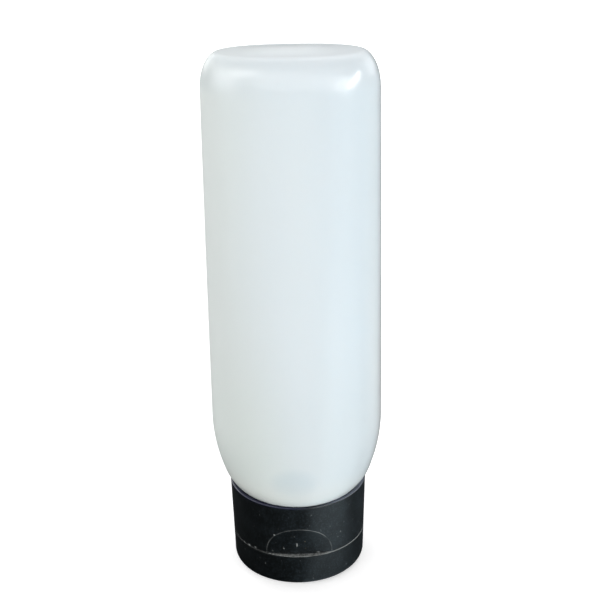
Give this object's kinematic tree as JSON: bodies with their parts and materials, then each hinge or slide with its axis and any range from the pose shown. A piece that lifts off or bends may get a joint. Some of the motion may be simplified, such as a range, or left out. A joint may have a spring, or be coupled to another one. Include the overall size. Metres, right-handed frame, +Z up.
{
  "type": "travel squeeze tube",
  "caption": "Soft milky squeeze tube standing upside down on a black screw-on snap cap with a hinged flip lid, for dispensing lotion or shampoo.",
  "frame": {"origin": "centre of the flat face that the closed lid stands on", "axes": "+Z up along the tube from the lid to the closed end, -Y towards the thumb recess, +Y towards the living hinge"},
  "size_m": [0.0444, 0.0376, 0.1416],
  "materials": {
    "milky_tube": "milky translucent soft plastic, smooth satin",
    "black_cap": "satin black plastic, lightly dusty at its edges",
    "washer_foam": "soft white foamed plastic"
  },
  "bodies": {
    "tube": {"tube": "milky_tube"},
    "washer": {"sealing_washer": "washer_foam"},
    "cap": {"cap_base": "black_cap", "living_hinge": "black_cap"},
    "lid": {"lid": "black_cap"}
  },
  "joints": [
    {"name": "cap_lift", "type": "slide", "parent": "tube", "child": "washer", "axis": [0, 0, -1], "range_m": [0, 0.00398]},
    {"name": "cap_turn", "type": "hinge", "parent": "washer", "child": "cap", "pos_m": [0, 0, 0.016], "axis": [0, 0, -1], "range_deg": [0, 450]},
    {"name": "lid_hinge", "type": "hinge", "parent": "cap", "child": "lid", "pos_m": [0, 0.01722, 0.0092], "axis": [1, 0, 0], "range_deg": [0, 140], "deforming": ["living_hinge"]}
  ],
  "couplings": [
    {"joint": "cap_lift", "follows": "cap_turn", "m_per_rad": 0.00050611}
  ]
}
